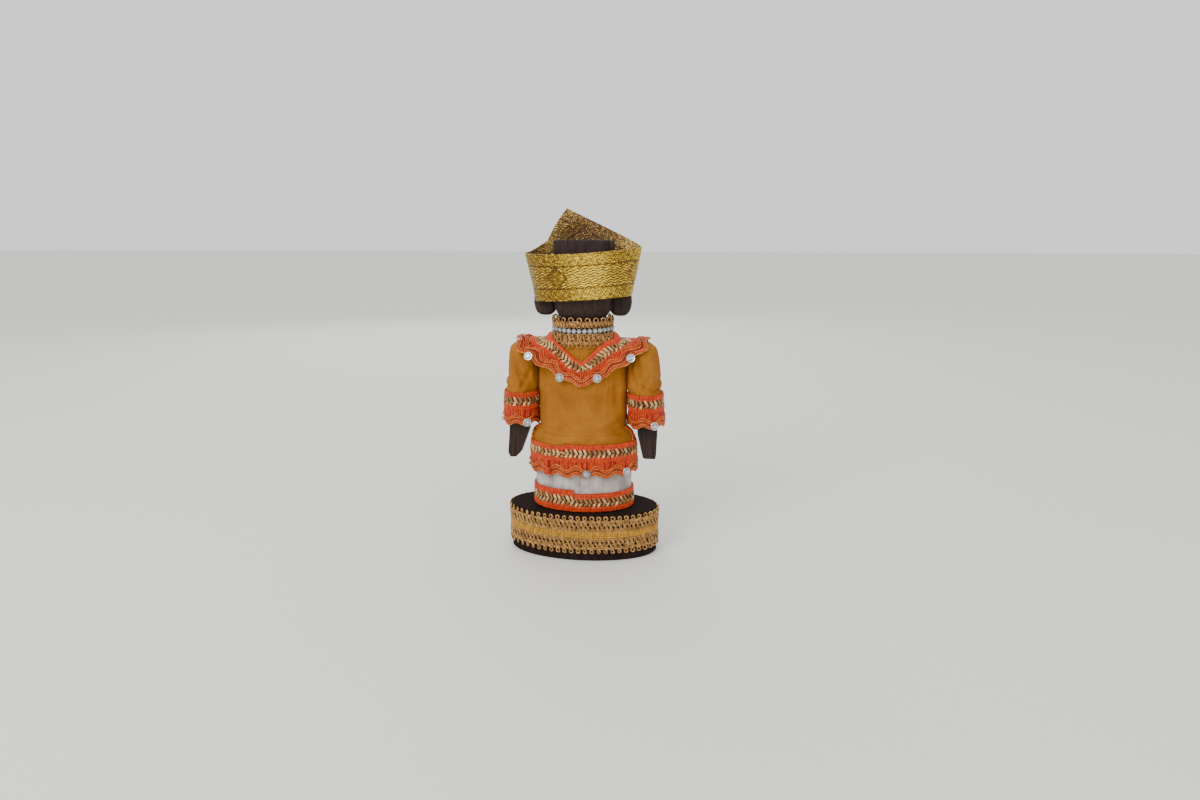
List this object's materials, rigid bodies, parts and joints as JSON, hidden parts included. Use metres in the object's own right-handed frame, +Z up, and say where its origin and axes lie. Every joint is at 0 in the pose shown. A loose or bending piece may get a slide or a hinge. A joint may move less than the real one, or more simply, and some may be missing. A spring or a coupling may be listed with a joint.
{
  "type": "dressed wooden puppet doll",
  "caption": "Dark carved wooden doll on an oval plinth, in a tunic and skirt with braid, glass stones and a ribbon crown; each arm swings on a pin through the shoulder.",
  "frame": {"origin": "centre of the plinth's flat underside", "axes": "+Z up; the doll's face looks towards -Y; its left hand is on +X"},
  "size_m": [0.0912, 0.048, 0.1895],
  "materials": {
    "dark_wood": "dark stain, oiled, satin",
    "peg_wood": "plain turned dowel",
    "pin_steel": "plain wire pin",
    "white_satin": "satin weave with a soft sheen",
    "mustard_cotton": "matt plain-weave cotton",
    "orange_gold_braid": "orange yarn edges and metallic gold leaves",
    "orange_cord": "twisted orange and gold cords",
    "glass_stone": "cut glass in a metal cup",
    "gold_gimp": "looped metallic gimp cord",
    "gold_brocade": "woven metallic ribbon"
  },
  "bodies": {
    "figure": {"base_block": "dark_wood", "base_braid": "gold_gimp", "base_peg": "peg_wood", "carved_figure": "dark_wood", "left_shoulder_pin": "pin_steel", "right_shoulder_pin": "pin_steel", "underskirt": "white_satin", "skirt_hem_braid": "orange_gold_braid", "tunic_back": "mustard_cotton", "tunic_front": "mustard_cotton", "tunic_hem_braid": "orange_gold_braid", "tunic_hem_scallop": "orange_cord", "tunic_hem_stones": "glass_stone", "collar_braid": "orange_gold_braid", "collar_scallop": "orange_cord", "collar_stones": "glass_stone", "neck_gimp": "gold_gimp", "neck_stone_chain": "glass_stone", "neck_lace": "gold_gimp", "crown_ribbon": "gold_brocade"},
    "left_arm": {"left_arm": "dark_wood", "left_sleeve": "mustard_cotton", "left_cuff_braid": "orange_gold_braid", "left_cuff_scallop": "orange_cord", "left_cuff_stones": "glass_stone"},
    "right_arm": {"right_arm": "dark_wood", "right_sleeve": "mustard_cotton", "right_cuff_braid": "orange_gold_braid", "right_cuff_scallop": "orange_cord", "right_cuff_stones": "glass_stone"}
  },
  "joints": [
    {"name": "left_shoulder", "type": "hinge", "parent": "figure", "child": "left_arm", "pos_m": [0.033, 0, 0.107], "axis": [-1, 0, 0], "range_deg": [-40, 60]},
    {"name": "right_shoulder", "type": "hinge", "parent": "figure", "child": "right_arm", "pos_m": [-0.033, 0, 0.107], "axis": [-1, 0, 0], "range_deg": [-40, 60]}
  ]
}
